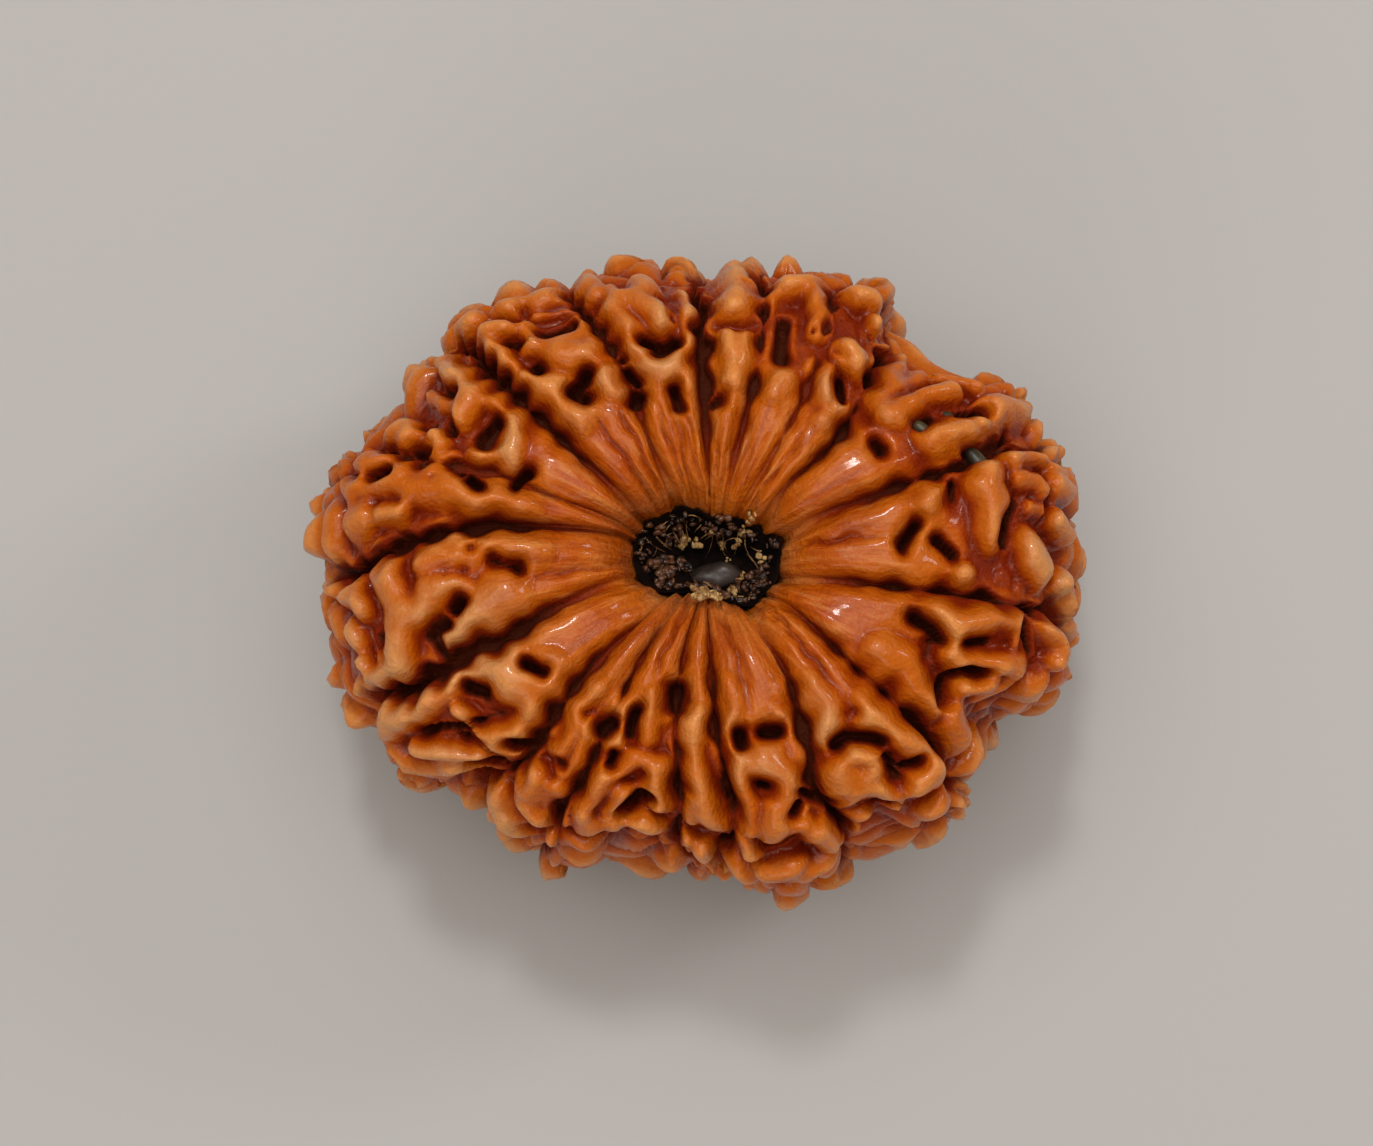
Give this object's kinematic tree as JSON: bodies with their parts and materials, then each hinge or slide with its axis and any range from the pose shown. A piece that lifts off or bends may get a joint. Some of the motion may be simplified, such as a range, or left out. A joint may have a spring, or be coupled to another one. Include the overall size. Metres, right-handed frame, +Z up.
{
  "type": "rudraksha seed",
  "caption": "Whole dried rudraksha seed, a knobbly many-lobed stone deeply grooved from pole to pole, with a natural canal through the middle.",
  "frame": {"origin": "middle of the seed's outline, on the surface it rests on", "axes": "+Z up along the natural canal, +X along the longer width, +Y across it"},
  "size_m": [0.0355, 0.0298, 0.023],
  "materials": {
    "seed_stone": "polished, slightly oily, satin to gloss",
    "dry_pith": "dry crumbly plant matter"
  },
  "bodies": {
    "root": {"seed": "seed_stone"}
  },
  "joints": []
}
